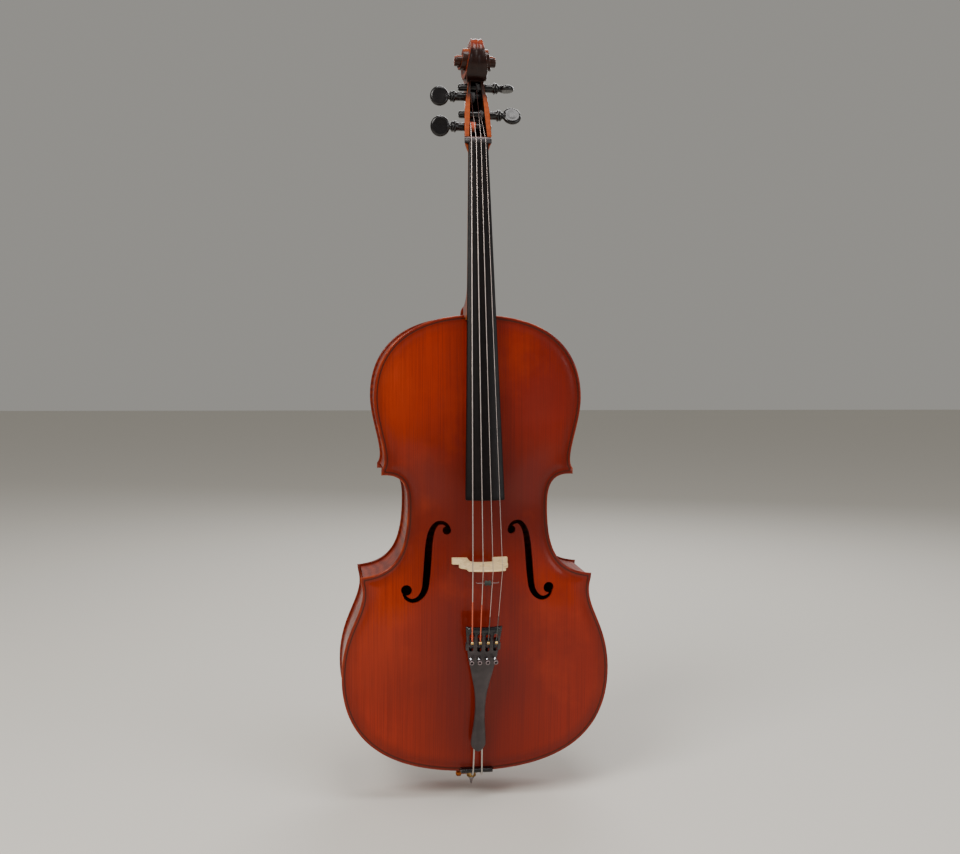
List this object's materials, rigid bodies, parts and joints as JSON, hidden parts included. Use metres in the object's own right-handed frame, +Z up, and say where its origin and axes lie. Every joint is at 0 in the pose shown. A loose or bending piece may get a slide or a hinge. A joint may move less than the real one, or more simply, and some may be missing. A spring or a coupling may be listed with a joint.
{
  "type": "cello",
  "caption": "Full-size cello with arched plates, f-shaped sound holes, carved scroll, turning pegs, tailpiece with fine tuners, retractable endpin and a sliding wire mute.",
  "frame": {"origin": "on the endpin's axis, level with the lowest edge of the plates and halfway through the ribs", "axes": "+Z up the body towards the scroll, -Y out of the belly on the side that is bowed, +X towards the treble (A string) side"},
  "size_m": [0.445, 0.2619, 1.254],
  "materials": {
    "belly_varnish": "orange-red spirit varnish on straight-grained spruce, gloss",
    "back_varnish": "orange-red varnish on flamed maple, gloss",
    "rib_varnish": "orange-red varnish on flamed maple, gloss",
    "neck_varnish": "orange-red varnish on carved maple, oiled golden brown along the neck",
    "bare_spruce": "bare planed softwood",
    "ebony": "oiled ebony, satin",
    "bridge_maple": "unvarnished speckled maple",
    "composite": "dark moulded composite, satin",
    "polished_steel": "polished nickel-plated steel",
    "brass": "turned brass, lightly tarnished",
    "string_winding": "flat-wound metal, with silk at the ends",
    "string_silk": "orange-red or dark green silk over-winding",
    "tail_cord": "braided wire",
    "mute_rubber": "dull dark rubber"
  },
  "bodies": {
    "instrument": {"top_plate": "belly_varnish", "back_plate": "back_varnish", "lower_rib_treble": "rib_varnish", "lower_rib_bass": "rib_varnish", "centre_rib_treble": "rib_varnish", "centre_rib_bass": "rib_varnish", "upper_rib_treble": "rib_varnish", "upper_rib_bass": "rib_varnish", "top_lining": "bare_spruce", "back_lining": "bare_spruce", "lower_corner_block_treble": "bare_spruce", "lower_corner_block_bass": "bare_spruce", "upper_corner_block_treble": "bare_spruce", "upper_corner_block_bass": "bare_spruce", "end_block": "bare_spruce", "neck_block": "bare_spruce", "sound_post": "bare_spruce", "bass_bar": "bare_spruce", "neck_and_scroll": "neck_varnish", "fingerboard": "ebony", "nut": "ebony", "bridge": "bridge_maple", "bottom_saddle": "ebony", "endpin_plug": "ebony", "endpin_collar": "brass", "tailpiece": "composite", "tuner_axle": "polished_steel", "tail_gut": "tail_cord", "string_C": "string_winding", "string_G": "string_winding", "string_D": "string_winding", "string_A": "string_winding"},
    "C_peg": {"peg_C": "ebony", "peg_winding_C": "string_silk"},
    "G_peg": {"peg_G": "ebony", "peg_winding_G": "string_silk"},
    "D_peg": {"peg_D": "ebony", "peg_winding_D": "string_silk"},
    "A_peg": {"peg_A": "ebony", "peg_winding_A": "string_silk"},
    "C_screw": {"tuner_stem_C": "polished_steel"},
    "C_knob": {"tuner_knob_C": "polished_steel"},
    "C_lever": {"tuner_lever_C": "polished_steel", "string_ball_C": "brass"},
    "G_screw": {"tuner_stem_G": "polished_steel"},
    "G_knob": {"tuner_knob_G": "polished_steel"},
    "G_lever": {"tuner_lever_G": "polished_steel", "string_ball_G": "brass"},
    "D_screw": {"tuner_stem_D": "polished_steel"},
    "D_knob": {"tuner_knob_D": "polished_steel"},
    "D_lever": {"tuner_lever_D": "polished_steel", "string_ball_D": "brass"},
    "A_screw": {"tuner_stem_A": "polished_steel"},
    "A_knob": {"tuner_knob_A": "polished_steel"},
    "A_lever": {"tuner_lever_A": "polished_steel", "string_ball_A": "brass"},
    "endpin": {"endpin_rod": "polished_steel"},
    "thumb_screw": {"endpin_thumb_screw": "brass"},
    "mute": {"mute_rubber": "mute_rubber", "mute_wire": "polished_steel"}
  },
  "joints": [
    {"name": "C_peg_turn", "type": "hinge", "parent": "instrument", "child": "C_peg", "pos_m": [0, -0.01673, 1.062], "axis": [-1, 0, 0], "continuous": true},
    {"name": "G_peg_turn", "type": "hinge", "parent": "instrument", "child": "G_peg", "pos_m": [0, 0.00042, 1.114], "axis": [-1, 0, 0], "continuous": true},
    {"name": "D_peg_turn", "type": "hinge", "parent": "instrument", "child": "D_peg", "pos_m": [0, 0.00569, 1.13], "axis": [1, 0, 0], "continuous": true},
    {"name": "A_peg_turn", "type": "hinge", "parent": "instrument", "child": "A_peg", "pos_m": [0, -0.00981, 1.083], "axis": [1, 0, 0], "continuous": true},
    {"name": "C_tuner_screw_travel", "type": "slide", "parent": "instrument", "child": "C_screw", "axis": [0, 0.9668, 0.2554], "range_m": [0, 0.005]},
    {"name": "C_tuner_knob_turn", "type": "hinge", "parent": "C_screw", "child": "C_knob", "pos_m": [-0.01935, -0.12768, 0.20533], "axis": [0, 0.9668, 0.2554], "range_deg": [0, 3600]},
    {"name": "C_tuner_lever_tilt", "type": "hinge", "parent": "instrument", "child": "C_lever", "pos_m": [-0.01935, -0.12531, 0.22767], "axis": [1, 0, 0], "range_deg": [0, 13.7]},
    {"name": "G_tuner_screw_travel", "type": "slide", "parent": "instrument", "child": "G_screw", "axis": [0, 0.9668, 0.2554], "range_m": [0, 0.005]},
    {"name": "G_tuner_knob_turn", "type": "hinge", "parent": "G_screw", "child": "G_knob", "pos_m": [-0.00645, -0.12768, 0.20533], "axis": [0, 0.9668, 0.2554], "range_deg": [0, 3600]},
    {"name": "G_tuner_lever_tilt", "type": "hinge", "parent": "instrument", "child": "G_lever", "pos_m": [-0.00645, -0.12531, 0.22767], "axis": [1, 0, 0], "range_deg": [0, 13.7]},
    {"name": "D_tuner_screw_travel", "type": "slide", "parent": "instrument", "child": "D_screw", "axis": [0, 0.9668, 0.2554], "range_m": [0, 0.005]},
    {"name": "D_tuner_knob_turn", "type": "hinge", "parent": "D_screw", "child": "D_knob", "pos_m": [0.00645, -0.12768, 0.20533], "axis": [0, 0.9668, 0.2554], "range_deg": [0, 3600]},
    {"name": "D_tuner_lever_tilt", "type": "hinge", "parent": "instrument", "child": "D_lever", "pos_m": [0.00645, -0.12531, 0.22767], "axis": [1, 0, 0], "range_deg": [0, 13.7]},
    {"name": "A_tuner_screw_travel", "type": "slide", "parent": "instrument", "child": "A_screw", "axis": [0, 0.9668, 0.2554], "range_m": [0, 0.005]},
    {"name": "A_tuner_knob_turn", "type": "hinge", "parent": "A_screw", "child": "A_knob", "pos_m": [0.01935, -0.12768, 0.20533], "axis": [0, 0.9668, 0.2554], "range_deg": [0, 3600]},
    {"name": "A_tuner_lever_tilt", "type": "hinge", "parent": "instrument", "child": "A_lever", "pos_m": [0.01935, -0.12531, 0.22767], "axis": [1, 0, 0], "range_deg": [0, 13.7]},
    {"name": "endpin_slide", "type": "slide", "parent": "instrument", "child": "endpin", "axis": [0, 0, -1], "range_m": [0, 0.38]},
    {"name": "endpin_thumb_screw_turn", "type": "hinge", "parent": "instrument", "child": "thumb_screw", "pos_m": [-0.02, 0, -0.0255], "axis": [-1, 0, 0], "range_deg": [0, 540]},
    {"name": "mute_slide", "type": "slide", "parent": "instrument", "child": "mute", "axis": [0, 0.2931, -0.9561], "range_m": [-0.012, 0.055]}
  ],
  "couplings": [
    {"joint": "C_tuner_knob_turn", "follows": "C_tuner_screw_travel", "rad_per_m": 12566},
    {"joint": "C_tuner_lever_tilt", "follows": "C_tuner_screw_travel", "rad_per_m": 47.62},
    {"joint": "G_tuner_knob_turn", "follows": "G_tuner_screw_travel", "rad_per_m": 12566},
    {"joint": "G_tuner_lever_tilt", "follows": "G_tuner_screw_travel", "rad_per_m": 47.62},
    {"joint": "D_tuner_knob_turn", "follows": "D_tuner_screw_travel", "rad_per_m": 12566},
    {"joint": "D_tuner_lever_tilt", "follows": "D_tuner_screw_travel", "rad_per_m": 47.62},
    {"joint": "A_tuner_knob_turn", "follows": "A_tuner_screw_travel", "rad_per_m": 12566},
    {"joint": "A_tuner_lever_tilt", "follows": "A_tuner_screw_travel", "rad_per_m": 47.62}
  ]
}
